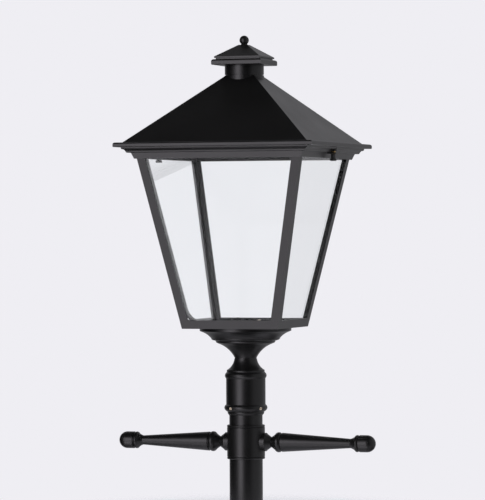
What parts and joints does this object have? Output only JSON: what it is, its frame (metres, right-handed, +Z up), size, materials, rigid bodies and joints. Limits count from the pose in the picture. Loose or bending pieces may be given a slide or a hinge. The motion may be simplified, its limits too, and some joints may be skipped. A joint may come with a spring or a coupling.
{
  "type": "post top lantern",
  "caption": "Square tapered lantern with clear panes, lift-off pyramid roof and chimney cap, on a turned socket and post section with ladder bars.",
  "frame": {"origin": "centre of the open lower end of the post section, on the post's axis", "axes": "+Z up along the post, -Y out of the lantern's front, +X to its right, along the ladder bars"},
  "size_m": [0.4866, 0.3698, 0.8571],
  "materials": {
    "black_cast": "satin black powder coat on cast aluminium",
    "black_steel": "satin black powder coat on steel tube",
    "glass": "clear float glass",
    "stainless": "plain stainless steel",
    "brass": "turned brass",
    "plain_aluminium": "mill finish aluminium",
    "black_plastic": "moulded black nylon",
    "rubber": "black rubber",
    "cable_sheath": "grey cable sheath",
    "opal": "opal acrylic",
    "board": "white lacquered circuit board",
    "driver_case": "white moulded case"
  },
  "bodies": {
    "post_and_frame": {"post_tube": "black_steel", "ladder_collar": "black_cast", "collar_grub_screws": "stainless", "ladder_bar_left": "black_cast", "ladder_bar_right": "black_cast", "post_fitter": "black_cast", "fitter_set_screws": "stainless", "base_dish": "black_cast", "hollow_tie_rod": "stainless", "tie_rod_nut": "stainless", "tie_rod_washer": "stainless", "bottom_frame": "black_cast", "base_plate": "black_cast", "post_front_left": "black_cast", "post_front_right": "black_cast", "post_back_left": "black_cast", "post_back_right": "black_cast", "top_frame": "black_cast", "post_screws": "stainless", "glass_front": "glass", "glass_right": "glass", "glass_back": "glass", "glass_left": "glass", "glazing_beads": "black_cast", "bead_screws": "stainless", "supply_cable": "cable_sheath", "cable_boot": "rubber", "cable_plug": "black_plastic"},
    "roof": {"roof_cornice": "black_cast", "thread_inserts": "brass", "roof_shell": "black_cast", "chimney_neck": "black_cast", "chimney_cap": "black_cast", "finial_ball": "black_cast", "chimney_rod": "stainless", "chimney_bridge": "stainless", "chimney_nut": "stainless", "gear_tray": "plain_aluminium", "tray_screws": "stainless", "roof_socket": "black_plastic", "lamp_lens": "opal", "led_board": "board", "heat_sink": "plain_aluminium", "led_driver": "driver_case"},
    "left_screw": {"thumb_stud_left": "brass"},
    "left_knob": {"thumb_knob_left": "black_plastic"},
    "right_screw": {"thumb_stud_right": "brass"},
    "right_knob": {"thumb_knob_right": "black_plastic"}
  },
  "joints": [
    {"name": "roof_lift", "type": "slide", "parent": "post_and_frame", "child": "roof", "axis": [0, 0, 1], "range_m": [0, 0.08]},
    {"name": "left_screw_travel", "type": "slide", "parent": "post_and_frame", "child": "left_screw", "axis": [0, 0, -1], "range_m": [0, 0.012]},
    {"name": "left_knob_turn", "type": "hinge", "parent": "left_screw", "child": "left_knob", "pos_m": [-0.167, 0, 0.635], "axis": [0, 0, -1], "range_deg": [0, 4321]},
    {"name": "right_screw_travel", "type": "slide", "parent": "post_and_frame", "child": "right_screw", "axis": [0, 0, -1], "range_m": [0, 0.012]},
    {"name": "right_knob_turn", "type": "hinge", "parent": "right_screw", "child": "right_knob", "pos_m": [0.167, 0, 0.635], "axis": [0, 0, -1], "range_deg": [0, 4321]}
  ],
  "couplings": [
    {"joint": "left_knob_turn", "follows": "left_screw_travel", "rad_per_m": 6283.2},
    {"joint": "right_knob_turn", "follows": "right_screw_travel", "rad_per_m": 6283.2}
  ]
}
